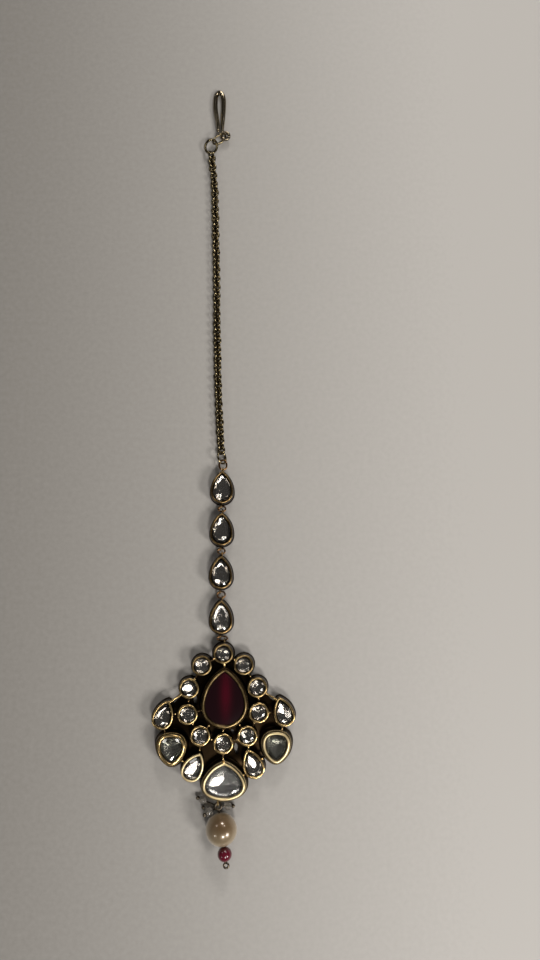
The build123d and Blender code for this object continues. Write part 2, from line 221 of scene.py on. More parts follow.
stain = math_node(antique, "MULTIPLY", math_node(antique, "MAXIMUM", stain, 0.0), given.outputs["Tarnish"])
brightness = antique.nodes.new("ShaderNodeMapRange")
brightness.interpolation_type = "SMOOTHSTEP"
antique.links.new(math_node(antique, "SUBTRACT", patchy, stain), brightness.inputs["Value"])
metal_colour = mix_colour(antique, brightness.outputs["Result"],
                          given.outputs["Dark"], given.outputs["Bright"])
antique.links.new(metal_colour, result.inputs["Colour"])
dull = math_node(antique, "MULTIPLY_ADD", brightness.outputs["Result"], -0.12, math_node(
    antique, "MULTIPLY_ADD", grain.outputs["Fac"], 0.10, given.outputs["Satin"]))
antique.links.new(math_node(antique, "ADD", dull, 0.07), result.inputs["Roughness"])
antique.links.new(grain.outputs["Fac"], result.inputs["Height"])


def bump_surface(tree, shader, height, strength):
    """Bumps of up to 0.04 mm from a height."""
    bump = tree.nodes.new("ShaderNodeBump")
    bump.inputs["Strength"].default_value = strength
    bump.inputs["Distance"].default_value = 0.00004
    tree.links.new(height, bump.inputs["Height"])
    tree.links.new(bump.outputs["Normal"], shader.inputs["Normal"])


def plated(name, bright, dark, satin, tarnish=0.06, wear_and_light=True):
    """A gold plated metal with the antique finish: bright where wear and painted light put it, dark
    elsewhere.
    """
    material, tree, shader = new_material(name)
    finish = tree.nodes.new("ShaderNodeGroup")
    finish.node_tree = antique
    finish.inputs["Bright"].default_value = bright
    finish.inputs["Dark"].default_value = dark
    finish.inputs["Satin"].default_value = satin
    finish.inputs["Tarnish"].default_value = tarnish
    if wear_and_light:
        wear_with_light = tree.nodes.new("ShaderNodeAttribute")
        wear_with_light.attribute_name = "rubbed_and_lit"
        tree.links.new(wear_with_light.outputs["Fac"], finish.inputs["Rubbed and lit"])
    tree.links.new(finish.outputs["Colour"], shader.inputs["Base Color"])
    tree.links.new(finish.outputs["Roughness"], shader.inputs["Roughness"])
    bump_surface(tree, shader, finish.outputs["Height"], 0.12)
    shader.inputs["Metallic"].default_value = 1.0
    return material


# The second gold is rougher and brighter, and its brighter colour is painted light on three low settings. The
# third is darker, as painted shade on the drops.
setting_gold = plated("setting_gold", (0.90, 0.64, 0.285, 1), (0.026, 0.016, 0.008, 1), 0.21, 0.32)
satin_lit_gold = plated("satin_lit_gold", (0.96, 0.77, 0.43, 1), (0.030, 0.019, 0.009, 1), 0.35, 0.18)
drop_shaded_gold = plated("drop_shaded_gold", (0.68, 0.45, 0.19, 1), (0.022, 0.012, 0.006, 1), 0.19, 0.22)


# ---------------------------------------------------------------- settings
# Each stone sits in its own cast cup: flat closed back, flared foot, rolled rim. The ruby's and
# the three big ones' feet carry a milled band. All of the pendant's are soldered together.
def point_on(cx, cy, radius, angle):
    """A point on a circle."""
    return (cx + radius * math.cos(angle), cy + radius * math.sin(angle))


def cut_outline(corners, side, grow, spacing):
    """Closed anticlockwise outline: corner circles joined by bulging sides, moved out by grow."""
    if len(corners) == 1:
        x, y, r = corners[0]
        count = max(24, round(2 * math.pi * r / spacing))
        return [point_on(x, y, r + grow, 2 * math.pi * k / count) for k in range(count)]
    middles = []
    for (ax, ay, ar), (bx, by, br) in zip(corners, corners[1:] + corners[:1]):
        gap = math.hypot(bx - ax, by - ay)
        along = ((side - ar) ** 2 - (side - br) ** 2 + gap ** 2) / (2 * gap)
        across = math.sqrt((side - ar) ** 2 - along ** 2)
        ux, uy = (bx - ax) / gap, (by - ay) / gap
        middles.append((ax + along * ux - across * uy, ay + along * uy + across * ux))
    points = []
    for k, (x, y, r) in enumerate(corners):
        before, after = middles[k - 1], middles[k]
        bx, by, _ = corners[(k + 1) % len(corners)]
        angles = [math.atan2(y - before[1], x - before[0]), math.atan2(y - after[1], x - after[0]),
                  math.atan2(by - after[1], bx - after[0])]
        for (cx, cy, radius), start, end in (((x, y, r), *angles[:2]), ((*after, side), *angles[1:])):
            turn = (end - start) % (2 * math.pi)
            steps = max(3, round(turn * (radius + 0.6) / spacing))
            points += [point_on(cx, cy, radius + grow, start + turn * s / steps) for s in range(steps)]
    return points


CUTS = {  # stone outlines, in millimetres: corner circles and the radius of the sides between
    "round": {"corners": [(0, 0, 1.70)], "side": 0},
    "pear": {"corners": [(0, -0.95, 1.75), (0, 2.62, 0.12)], "side": 4.6},
    "drop": {"corners": [(0, -1.05, 2.12), (0, 3.22, 0.15)], "side": 5.5},
    "side": {"corners": [(0, -2.25, 0.65), (0.80, 0.85, 1.60), (-0.80, 0.85, 1.60)], "side": 4.4},
    "bottom": {"corners": [(0, 2.75, 0.55), (-2.05, -0.95, 2.05), (2.05, -0.95, 2.05)], "side": 6.4},
    "ruby": {"corners": [(0, -1.35, 4.45), (0, 5.60, 0.25)], "side": 9.0},
}
SETTINGS = {  # height, rim width, slope of the rim, flare of the foot, its edge's height, milled or not
    "round": {"height": 3.4, "rim": 0.60, "crest": 13, "flare": 0.35, "band": 0.5, "milled": False},
    "pear": {"height": 3.4, "rim": 0.60, "crest": 11, "flare": 0.35, "band": 0.5, "milled": False},
    "drop": {"height": 3.2, "rim": 0.55, "crest": 17, "flare": 0.32, "band": 0.5, "milled": False},
    "side": {"height": 4.0, "rim": 0.70, "crest": 10, "flare": 0.85, "band": 1.1, "milled": True},
    "bottom": {"height": 4.0, "rim": 0.60, "crest": 3, "flare": 0.80, "band": 1.1, "milled": True},
    "ruby": {"height": 4.0, "rim": 0.65, "crest": 10, "flare": 0.75, "band": 1.2, "milled": True},
}
# Settings whose gold is painted brighter, as painted light, and rougher.
SATIN_LIT = {"bottom_stone", "pear_stone_lower_left", "side_stone_right"}
STONES = {  # node: cut and turn in degrees
    "ruby": ("ruby", 0), "bottom_stone": ("bottom", 0),
    "side_stone_left": ("side", 0), "side_stone_right": ("side", 0),
    "pear_stone_upper_left": ("pear", -19), "pear_stone_upper_right": ("pear", 19),
    "pear_stone_lower_left": ("pear", -29), "pear_stone_lower_right": ("pear", 22),
}
STONES.update({f"round_stone_{k}": ("round", 0) for k in range(1, 11)})
STONES.update({f"drop_stone_{k}": ("drop", 0) for k in range(1, 5)})


def turned(points, degrees):
    """Points turned about the origin."""
    c, s = math.cos(math.radians(degrees)), math.sin(math.radians(degrees))
    return [(c * x - s * y, s * x + c * y) for x, y in points]


def seat_of(node):
    """Where a stone's cut has its own origin, from the stone's place in the frame."""
    cut, turn = STONES[node]
    outline = turned(cut_outline(**CUTS[cut], grow=0, spacing=0.05), turn)
    low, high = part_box(node)
    return [(low[k] + high[k]) / 2 / MM - (min(p[k] for p in outline) + max(p[k] for p in outline)) / 2
            for k in (0, 1)]


def outline_of(node, grow, spacing=0.12):
    """A stone's outline where it sits, moved out by grow."""
    cut, turn = STONES[node]
    x, y = seat_of(node)
    outline = turned(cut_outline(**CUTS[cut], grow=grow, spacing=spacing), turn)
    return [(x + across, y + ahead) for across, ahead in outline]


MILL_PITCH = 0.36
MILL_DEPTH = 0.05
STEPS_A_RIB = 6
GROOVE_DARKER = 0.4
PLAIN_SPACING = 0.13
WELL_FOOT = (0.02, 1.0, 0.0, 0)  # where the wall round the stone ends, as foot_levels gives levels
# Painted light: rims brightest at the pendant's foot and dimmer up the drops, with the ruby's rim dimmed
# further.
RIM_LIGHT_MIDDLE, RIM_LIGHT_FALL, RIM_LIGHT_LEAST, RUBY_RIM_DIMMED = 0.60, 0.020, 0.45, 0.75
CREST_FROM = 0.30  # the rim slopes down outside this share of its width
RIM_LEVELS = [  # out past the stone's edge as a share of the rim, height under the top, how rubbed
    (0.76, 0.62, 0.05), (0.90, 0.50, 0.10), (0.98, 0.38, 0.16), (1.00, 0.26, 0.28), (0.98, 0.15, 0.50),
    (0.91, 0.06, 0.85), (0.80, 0.015, 1.0), (0.62, 0.00, 1.0), (0.44, 0.015, 1.0), (0.30, 0.06, 0.80),
    (0.15, 0.15, 0.35), (-0.05, 0.25, 0.08), (-0.12, 0.28, 0.0), (0.03, 0.36, 0.0)]


def wear_and_light(y):
    """How bright a setting's rim is painted by its place: most at the pendant's foot, least up the drops.
    This is painted light, for the lamps' reflection that falls more on the lower rims.
    """
    return min(1.0, max(RIM_LIGHT_LEAST, RIM_LIGHT_MIDDLE - RIM_LIGHT_FALL * y))


def foot_levels(s):
    """A setting's wall from its back to under its rim: out, height, how rubbed, how ribbed."""
    rim, top, foot, band = s["rim"], s["height"], s["rim"] + s["flare"], s["band"]
    levels = [(foot - 0.12, 0.0, 0.05, 0), (foot - 0.03, 0.05, 0.08, 0), (foot, 0.14, 0.10, 0),
              (foot, band - 0.14, 0.15, 0), (foot - 0.05, band - 0.04, 0.30, 0),
              (foot - 0.15, band + 0.05, 0.20, 0)]
    if s["milled"]:
        return levels + [
            (rim + 0.6 * s["flare"], band + 0.5, 0.05, 0), (rim + 0.36, top - 1.42, 0.05, 0.2),
            (rim + 0.38, top - 1.05, 0.40, 0.8), (rim + 0.36, top - 0.82, 0.60, 1),
            (rim + 0.28, top - 0.68, 0.70, 1), (rim + 0.16, top - 0.64, 0.55, 0.8),
            (rim + 0.05, top - 0.72, 0.15, 0.2)]
    return levels + [
        (rim - 0.1 + 0.45 * s["flare"], band + 0.45, 0.05, 0), (rim + 0.06, top - 1.5, 0.08, 0),
        (rim - 0.06, top - 0.95, 0.15, 0), (rim - 0.12, top - 0.70, 0.12, 0)]


def walls(count, rows):
    """Faces between stacked loops of count points, and one that closes the lowest loop."""
    faces = []
    for k in range(rows - 1):
        for i in range(count):
            j = (i + 1) % count
            faces.append((k * count + i, k * count + j, (k + 1) * count + j, (k + 1) * count + i))
    return faces + [tuple(range(count - 1, -1, -1))]


def collet(node):
    """The cup round one stone, as a closed mesh of stacked outlines."""
    s = SETTINGS[STONES[node][0]]
    levels = foot_levels(s)
    fall = s["rim"] * math.tan(math.radians(s["crest"]))
    levels += [(s["rim"] * share, s["height"] - drop - fall * max(0, share - CREST_FROM), bright, 0)
               for share, drop, bright in RIM_LEVELS]
    levels.append(WELL_FOOT)
    spacing = MILL_PITCH / STEPS_A_RIB if s["milled"] else PLAIN_SPACING
    # Painted light: the rim's brightness is scaled by the setting's place.
    share = wear_and_light(seat_of(node)[1]) * (RUBY_RIM_DIMMED if node == "ruby" else 1)
    verts, rubbed_and_lit = [], []
    for grow, z, bright, ribbed in levels:
        loop, outer = outline_of(node, grow, spacing), outline_of(node, grow + 1, spacing)
        ribs = round(len(loop) / STEPS_A_RIB)
        for i, ((x, y), (ox, oy)) in enumerate(zip(loop, outer)):
            groove = ribbed * (0.5 + 0.5 * math.cos(2 * math.pi * ribs * i / len(loop)))
            verts.append((x - (ox - x) * MILL_DEPTH * groove, y - (oy - y) * MILL_DEPTH * groove,
                          z - 0.5 * MILL_DEPTH * groove))
            rubbed_and_lit.append(share * bright * (1 - GROOVE_DARKER * groove))
    count = len(verts) // len(levels)
    faces = walls(count, len(levels))
    faces.append(tuple(len(verts) - count + i for i in range(count)))
    name = node.replace("stone", "setting") if "stone" in node else f"{node}_setting"
    metal = drop_shaded_gold if name.startswith("drop") else satin_lit_gold if node in SATIN_LIT else setting_gold
    return add_piece(f"{name}_cup", verts, faces, metal, crisp=55, rubbed_and_lit=rubbed_and_lit)


def settle(piece, slot, *nodes):
    """Fix a piece to the ornament and hide the nodes it stands for. Its slot argument is not used."""
    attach(piece, "root")
    if nodes:
        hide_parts(*nodes)


for node in STONES:
    number = node.rsplit("_", 1)[-1]
    settle(collet(node), "antique_gold",
           f"drop_setting_{number}" if node.startswith("drop") else "pendant_frame")


# ---------------------------------------------------------------- solder links
# Short bars of gold solder hold the pendant's settings together. Each is waisted between the two
# rims that it joins, and has a bead of solder on it.
def tube(centres, radii, sides=12, closed=False, cap="round"):
    """Verts and faces of round wire along a line of points. Open ends are round or cut flat."""
    centres = [Vector(c) for c in centres]
    radii = list(radii) if hasattr(radii, "__len__") else [radii] * len(centres)
    if not closed:
        profile = ((0.35, 0.93), (0.68, 0.72), (0.92, 0.38)) if cap == "round" else ((0.10, 0.90),)
        first, last = (centres[0] - centres[1]).normalized(), (centres[-1] - centres[-2]).normalized()
        centres = ([centres[0] + first * radii[0] * a for a, _ in reversed(profile)] + centres
                   + [centres[-1] + last * radii[-1] * a for a, _ in profile])
        radii = ([radii[0] * b for _, b in reversed(profile)] + radii + [radii[-1] * b for _, b in profile])
    count = len(centres)
    verts, faces = [], []
    side = None
    for k in range(count):
        after = centres[(k + 1) % count] if closed else centres[min(k + 1, count - 1)]
        before = centres[k - 1] if closed else centres[max(k - 1, 0)]
        along = (after - before).normalized()
        if side is None:
            side = along.orthogonal().normalized()
        side = (side - along * side.dot(along)).normalized()
        other = along.cross(side)
        for i in range(sides):
            angle = 2 * math.pi * i / sides
            verts.append(centres[k] + (side * math.cos(angle) + other * math.sin(angle)) * radii[k])
    for k in range(count if closed else count - 1):
        for i in range(sides):
            a, b, c = k * sides, ((k + 1) % count) * sides, (i + 1) % sides
            faces.append((a + i, a + c, b + c, b + i))
    if not closed:
        faces.append(tuple(range(sides - 1, -1, -1)))
        faces.append(tuple((count - 1) * sides + i for i in range(sides)))
    return verts, faces


def ball(centre, radius, axis=(0, 0, 1), rings=12, hole=0.0):
    """Verts and faces of a ball, round an axis; a hole along the axis has rounded mouths."""
    axis = Vector(axis).normalized()
    side = axis.orthogonal().normalized()
    other = axis.cross(side)
    if hole:
        low = math.asin(hole * 1.25 / radius)
        profile = [(hole, -math.cos(low) * radius * 0.93), (hole * 1.04, -math.cos(low) * radius * 0.97)]
        profile += [(radius * math.sin(a), -radius * math.cos(a))
                    for a in (low + (math.pi - 2 * low) * k / rings for k in range(rings + 1))]
        profile += [(r, -h) for r, h in profile[1::-1]]
    else:
        profile = [(radius * math.sin(math.pi * k / rings), -radius * math.cos(math.pi * k / rings))
                   for k in range(1, rings)]
    around = 2 * rings
    verts = [Vector(centre) + axis * h + (side * math.cos(2 * math.pi * i / around)
                                          + other * math.sin(2 * math.pi * i / around)) * r
             for r, h in profile for i in range(around)]
    rows = len(profile)
    faces = [(k * around + i, k * around + (i + 1) % around,
              ((k + 1) % rows) * around + (i + 1) % around, ((k + 1) % rows) * around + i)
             for k in range(rows if hole else rows - 1) for i in range(around)]
    if not hole:
        verts += [Vector(centre) - axis * radius, Vector(centre) + axis * radius]
        end = (rows - 1) * around
        faces += [((i + 1) % around, i, len(verts) - 2) for i in range(around)]
        faces += [(end + i, end + (i + 1) % around, len(verts) - 1) for i in range(around)]
    return verts, faces


def joined(parts):
    """Several lots of verts and faces as one."""
    verts, faces = [], []
    for more, polygons in parts:
        faces += [tuple(i + len(verts) for i in polygon) for polygon in polygons]
        verts += more
    return verts, faces


ROUND, PEAR = "round_stone_", "pear_stone_"
SOLDERED = [(ROUND + a, ROUND + b) for a, b in (
    ("1", "2"), ("1", "3"), ("2", "4"), ("3", "5"), ("4", "6"), ("5", "7"), ("6", "8"), ("7", "10"),
    ("8", "9"), ("9", "10"))]
SOLDERED += [("ruby", ROUND + k) for k in ("1", "6", "7", "8", "9", "10")]
SOLDERED += [(ROUND + k, PEAR + p) for k, p in (
    ("4", "upper_left"), ("6", "upper_left"), ("5", "upper_right"), ("7", "upper_right"),
    ("8", "lower_left"), ("10", "lower_right"))]
SOLDERED += [(PEAR + "upper_left", "side_stone_left"), (PEAR + "upper_right", "side_stone_right"),
             (PEAR + "lower_left", "side_stone_left"), (PEAR + "lower_right", "side_stone_right"),
             (PEAR + "lower_left", "bottom_stone"), (PEAR + "lower_right", "bottom_stone"),
             (ROUND + "9", "bottom_stone")]
LINK_Z = 2.9
LINK_WAIST = 0.19
LINK_ENDS = 0.34
LINK_SUNK = 0.10  # how far a bar runs into a rim
BAR_STEPS = 8
SOLDER_BEAD = 0.25
BEAD_LIFT = 0.18
BAR_RUBBED, BAR_DARK, BEAD_RUBBED = 0.75, 0.15, 0.95
GRAINS = [(0.12, 0.34), (0.72, 0.24)]  # how far past the bottom setting's point, radius
GRAIN_LEAN = 0.25
GRAIN_DEPTH = 0.38  # under the rim
RUBBED_BARS = {("round_stone_4", "pear_stone_upper_left"), ("round_stone_5", "pear_stone_upper_right"),
               ("ruby", "round_stone_1")}
chance = random.Random(7)
bars, beads, wear_with_light = [], [], []
for first, second in SOLDERED:
    near_rim, far_rim = (outline_of(node, SETTINGS[STONES[node][0]]["rim"] - LINK_SUNK, 0.25)
                         for node in (first, second))
    a, b = min(((Vector(p), Vector(q)) for p in near_rim for q in far_rim),
               key=lambda pair: (pair[0] - pair[1]).length)
    centres = [(*a.lerp(b, k / BAR_STEPS), LINK_Z) for k in range(BAR_STEPS + 1)]
    waist = LINK_WAIST * chance.uniform(0.9, 1.15)
    radii = [waist + (LINK_ENDS - waist) * abs(2 * k / BAR_STEPS - 1) ** 2.5 for k in range(BAR_STEPS + 1)]
    bars.append(tube(centres, radii, sides=14))
    wear_with_light += [BAR_RUBBED if (first, second) in RUBBED_BARS else BAR_DARK] * len(bars[-1][0])
    lump = a.lerp(b, chance.choice((0.2, 0.5, 0.8)))
    beads.append(ball((*lump, LINK_Z + BEAD_LIFT), SOLDER_BEAD * chance.uniform(0.75, 1.1)))

# The bottom setting's point ends in a grain of solder, with a smaller one before it.
tip = Vector(max(outline_of("bottom_stone", SETTINGS["bottom"]["rim"]), key=lambda p: p[1]))
for ahead, size in GRAINS:
    place = (tip.x - GRAIN_LEAN * ahead, tip.y + ahead, SETTINGS["bottom"]["height"] - GRAIN_DEPTH)
    beads.append(ball(place, size))
verts, faces = joined(bars + beads)
wear_with_light += [BEAD_RUBBED] * (len(verts) - len(wear_with_light))
solder = add_piece("solder_links", verts, faces, setting_gold, rubbed_and_lit=wear_with_light)
settle(solder, "antique_gold", "pendant_frame")


# ---------------------------------------------------------------- eyes
# Upright eyes of plated wire, bent round and soldered on: one at each end of every drop, one at
# the pendant's top, and two at its bottom for the pearl drop and the small beads.
EYE_RADIUS = 0.50
EYE_WIRE = 0.18
EYE_Z = 1.4
EYE_ASIDE = 0.22
EYE_POINTS = 28
EYE_RUBBED = 0.45
LOWER_EYES = [(-22.57, 3.10, 0.68, 0.20), (-22.80, 1.90, 0.55, 0.18)]  # y, z, radius, wire


def upright_eye(x, y, z=EYE_Z, radius=EYE_RADIUS, wire=EYE_WIRE):
    """A closed eye of round wire, standing across the ornament."""
    turns = [2 * math.pi * k / EYE_POINTS for k in range(EYE_POINTS)]
    return tube([(x, y + radius * math.cos(a), z + radius * math.sin(a)) for a in turns], wire, closed=True)


def middle_of(node):
    """The middle of a node's box, in millimetres."""
    low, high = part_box(node)
    return (low + high) / 2 / MM


eye_reach = EYE_RADIUS + EYE_WIRE
for k in range(1, 5):
    low, high = (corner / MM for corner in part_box(f"drop_setting_{k}"))
    x = middle_of(f"drop_stone_{k}").x
    verts, faces = joined([upright_eye(x + EYE_ASIDE, high.y - eye_reach),
                           upright_eye(x - EYE_ASIDE, low.y + eye_reach)])
    eyes = add_piece(f"drop_setting_{k}_eyes", verts, faces, drop_shaded_gold, rubbed_and_lit=[EYE_RUBBED] * len(verts))
    settle(eyes, "antique_gold", f"drop_setting_{k}")

frame_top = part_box("pendant_frame")[1] / MM
pendant_eyes = [upright_eye(middle_of("round_stone_1").x + EYE_ASIDE, frame_top.y - eye_reach)]
pendant_eyes += [upright_eye(middle_of("dangle_ring").x, *eye) for eye in LOWER_EYES]
verts, faces = joined(pendant_eyes)
eyes = add_piece("pendant_eyes", verts, faces, setting_gold, rubbed_and_lit=[EYE_RUBBED] * len(verts))
settle(eyes, "antique_gold", "pendant_frame")


# ---------------------------------------------------------------- cast web
# A thin plate cast between the settings closes the back. It takes the finish's dark colour all over and is
# grainy, with narrow openings beside the ruby and below it.
WEB_BOTTOM, WEB_TOP, WEB_EDGE = 0.15, 0.95, 0.08
OPENING_POINTS = 32
WEB_CORNERS = ["round_stone_1", "round_stone_2", "round_stone_4", "pear_stone_upper_left", "side_stone_left",
               "pear_stone_lower_left", "bottom_stone", "pear_stone_lower_right", "side_stone_right",
               "pear_stone_upper_right", "round_stone_5", "round_stone_3"]
WEB_OPENINGS = [  # place, length and width in millimetres, turn in degrees
    {"at": (-6.75, -0.60), "length": 2.4, "width": 1.0, "turn": 90},
    {"at": (1.85, -7.75), "length": 1.5, "width": 0.9, "turn": -60},
    {"at": (2.65, -11.40), "length": 2.6, "width": 1.1, "turn": -80},
]
plate = bpy.data.curves.new("web_plate", "CURVE")
plate.dimensions = "2D"
plate.fill_mode = "BOTH"
plate.extrude = (WEB_TOP - WEB_BOTTOM) / 2 - WEB_EDGE
plate.bevel_depth = WEB_EDGE
plate.bevel_resolution = 2
edges = [[seat_of(node) for node in WEB_CORNERS]]
for opening in WEB_OPENINGS:
    ellipse = [(opening["length"] / 2 * math.cos(a), opening["width"] / 2 * math.sin(a))
               for a in (2 * math.pi * k / OPENING_POINTS for k in range(OPENING_POINTS))]
    edges.append([(opening["at"][0] + x, opening["at"][1] + y) for x, y in turned(ellipse, opening["turn"])])
for edge in edges:
    spline = plate.splines.new("POLY")
    spline.points.add(len(edge) - 1)
    spline.use_cyclic_u = True
    for point, (x, y) in zip(spline.points, edge):
        point.co = (x, y, 0, 1)
holder = bpy.data.objects.new("web_plate", plate)
cast = bpy.data.meshes.new_from_object(holder)
bpy.data.objects.remove(holder)
solid = bmesh.new()
solid.from_mesh(cast)
bmesh.ops.remove_doubles(solid, verts=solid.verts, dist=0.001)
bmesh.ops.recalc_face_normals(solid, faces=solid.faces)
verts = [(v.co.x, v.co.y, v.co.z + (WEB_BOTTOM + WEB_TOP) / 2) for v in solid.verts]
faces = [tuple(v.index for v in face.verts) for face in solid.faces]
solid.free()
web = add_piece("cast_web", verts, faces, setting_gold, rubbed_and_lit=[0.0] * len(verts))
settle(web, "antique_gold", "pendant_frame")


# ---------------------------------------------------------------- clear stones
# Clear glass stones with a flat table, sloping facets round it and a shallow cut back that is
# covered with silver foil, so that every facet of the back is a small mirror.
def clear_glass(name, colour, transmission, ior, haze_scale, least_rough, most_rough):
    """Clear glass whose polish is a little hazed here and there."""
    material, tree, shader = new_material(name)
    shader.inputs["Base Color"].default_value = colour
    shader.inputs["Transmission Weight"].default_value = transmission
    shader.inputs["IOR"].default_value = ior
    haze = noise_node(tree, haze_scale)
    soft = tree.nodes.new("ShaderNodeMapRange")
    soft.inputs["To Min"].default_value = least_rough
    soft.inputs["To Max"].default_value = most_rough
    tree.links.new(haze.outputs["Fac"], soft.inputs["Value"])
    tree.links.new(soft.outputs["Result"], shader.inputs["Roughness"])
    return material


crystal = clear_glass("clear_crystal", (0.97, 0.98, 1.0, 1), 1.0, 1.56, 900, 0.0, 0.04)

FOILS = {  # name: darkest and brightest colour, how rough
    "silver_foil": ((0.53, 0.49, 0.43, 1), (0.87, 0.82, 0.75, 1), 0.07),
    "satin_foil": ((0.62, 0.60, 0.56, 1), (0.95, 0.93, 0.89, 1), 0.21),
    "dulled_foil": ((0.33, 0.32, 0.265, 1), (0.68, 0.665, 0.58, 1), 0.19),
}
FOIL_OF = {"side": "dulled_foil", "bottom": "satin_foil"}
foils = {}
for name, (dark, bright, rough) in FOILS.items():
    foils[name], tree, shader = new_material(name)
    shader.inputs["Metallic"].default_value = 1.0
    shader.inputs["Roughness"].default_value = rough
    crinkle = noise_node(tree, 1100, 3)
    tree.links.new(mix_colour(tree, crinkle.outputs["Fac"], dark, bright), shader.inputs["Base Color"])
    bump_surface(tree, shader, crinkle.outputs["Fac"], 0.10)


def stations(cut, count, offset=0.0):
    """Evenly spaced places round a cut, from its tip: the point and the way out from it."""
    line = cut_outline(**CUTS[cut], grow=0, spacing=0.04)
    outer = cut_outline(**CUTS[cut], grow=1, spacing=0.04)
    tip = min(range(len(line)), key=lambda i: line[i][1] if cut == "side" else -line[i][1])
    order = line[tip:] + line[:tip]
    outward = outer[tip:] + outer[:tip]
    lengths = [math.dist(a, b) for a, b in zip(order, order[1:] + order[:1])]
    whole, found, run, k = sum(lengths), [], 0.0, 0
    for point, out, length in zip(order, outward, lengths):
        while k < count and run + length > (k + offset) * whole / count:
            found.append((Vector(point), Vector((out[0] - point[0], out[1] - point[1]))))
            k += 1
        run += length
    return found


def slice_off(solid, at, facing):
    """Cut away what lies beyond a plane, and close the cut with one facet."""
    everything = solid.verts[:] + solid.edges[:] + solid.faces[:]
    cut = bmesh.ops.bisect_plane(solid, geom=everything, dist=1e-5, plane_co=at, plane_no=facing,
                                 clear_outer=True)
    edge = [item for item in cut["geom_cut"] if isinstance(item, bmesh.types.BMEdge)]
    if len(edge) > 2:
        bmesh.ops.contextual_create(solid, geom=edge)


def facet(solid, place, z, degrees, upward=True):
    """A facet through one place of the edge, sloping by a number of degrees."""
    point, out = place
    slope = math.radians(degrees)
    rise = math.cos(slope) if upward else -math.cos(slope)
    slice_off(solid, Vector((*point, z)), Vector((*(out * math.sin(slope)), rise)))


BACKS = {  # rings of foiled facets: how far out, how many, slope on the tip's side and on the other, spread
    "round": [(1.0, 8, 14, 17, 4), (0.52, 6, 8, 9, 3)],
    "pear": [(1.0, 10, 14, 17, 4), (0.52, 6, 8, 9, 3)],
    "drop": [(1.0, 10, 12.5, 17.5, 3), (0.52, 6, 7, 10, 3)],
    "side": [(1.0, 11, 21, 22, 5), (0.66, 9, 13, 15, 6), (0.34, 6, 6, 7, 5)],
    "bottom": [(1.0, 16, 15, 18, 5), (0.76, 13, 11, 13, 6), (0.50, 9, 7, 8, 5), (0.24, 5, 4, 5, 4)],
}
CROWNS = {"round": (33, 8), "pear": (33, 8), "drop": (33, 8), "side": (28, 10), "bottom": (26, 12)}
BACK_DEPTH = 0.42  # how far the first ring of facets starts below the rim
BROAD_BACKS = {  # slope and depth of one wide facet across the middle of the back
    "round_stone_4": (8.7, 0.55), "pear_stone_lower_left": (7.0, 0.53), "pear_stone_lower_right": (7.0, 0.66),
}
BROAD_TOWARDS = (-0.34, 0.94)
ROUGH_FLOOR = 1.05  # the uncut glass starts at this height
GIRDLE_DEPTH, TABLE_ABOVE = 0.30, 0.15  # from the setting's height
CROWN_SPREAD = 1.5  # degrees
BREAK_STEEPER, BREAK_LIFT = 11, 0.01  # the small facets next to the girdle
STAR_FLATTER, STAR_REACH = 13, 0.20  # the facets that cut into the table's edge
BACK_SHIFT = 0.12  # share of a facet that a ring of them may be turned by


def cut_stone(node):
    """One faceted stone: flat table, two rows of facets round it, and a shallow foiled back."""
    cut, turn = STONES[node]
    top = SETTINGS[cut]["height"]
    girdle, table = top - GIRDLE_DEPTH, top + TABLE_ABOVE
    slope, around = CROWNS[cut]
    chance = random.Random(node)
    line = cut_outline(**CUTS[cut], grow=0, spacing=0.10)
    solid = bmesh.new()
    lower = [solid.verts.new((x, y, ROUGH_FLOOR)) for x, y in line]
    upper = [solid.verts.new((x, y, table)) for x, y in line]
    solid.faces.new(lower[::-1])
    solid.faces.new(upper)
    for k in range(len(line)):
        j = (k + 1) % len(line)
        solid.faces.new((lower[k], lower[j], upper[j], upper[k]))
    for place in stations(cut, around):
        facet(solid, place, girdle, slope + chance.uniform(-CROWN_SPREAD, CROWN_SPREAD))
    for place in stations(cut, 2 * around, 0.5):
        facet(solid, place, girdle + BREAK_LIFT, slope + BREAK_STEEPER)
    corners = [v.co.copy() for v in solid.verts if v.co.z > table - 1e-3]
    for point, out in stations(cut, around, 0.5):
        reach = max(c.xy.dot(out) for c in corners) - STAR_REACH
        facet(solid, (out * reach, out), table, slope - STAR_FLATTER)
    fall, outer, steep = 0.0, 1.0, 0.0
    for share, count, tip_slope, far_slope, spread in BACKS[cut]:
        fall += (outer - share) * math.tan(math.radians(steep))
        outer, steep = share, (tip_slope + far_slope) / 2
        for point, out in stations(cut, count, chance.uniform(-BACK_SHIFT, BACK_SHIFT)):
            depth = BACK_DEPTH + fall * abs(point.dot(out))
            toward_tip = 0.5 - 0.5 * out.y if cut == "side" else 0.5 + 0.5 * out.y
            tilt = far_slope + (tip_slope - far_slope) * toward_tip + chance.uniform(-spread, spread)
            facet(solid, (point * share, out), top - depth, tilt, upward=False)
    if node in BROAD_BACKS:
        away = Vector(turned([BROAD_TOWARDS], -turn)[0])
        slope, depth = BROAD_BACKS[node]
        facet(solid, (Vector((0, 0)), away), top - depth, slope, upward=False)
    x, y = seat_of(node)
    solid.transform(Matrix.Translation((x, y, 0)) @ Matrix.Rotation(math.radians(turn), 4, "Z"))
    solid.normal_update()
    places = [v.co.copy() for v in solid.verts]
    solid.verts.index_update()
    polygons = [tuple(v.index for v in face.verts) for face in solid.faces]
    backs = [face.normal.z < -0.5 for face in solid.faces]
    solid.free()
    piece = add_piece(f"{node}_cut", places, polygons, crystal, crisp=1)
    piece.data.materials.append(foils[FOIL_OF.get(cut, "silver_foil")])
    piece.data.polygons.foreach_set("material_index", [int(b) for b in backs])
    return piece


for node, (cut, _) in STONES.items():
    if cut != "ruby":
        settle(cut_stone(node), "clear_stone", node)


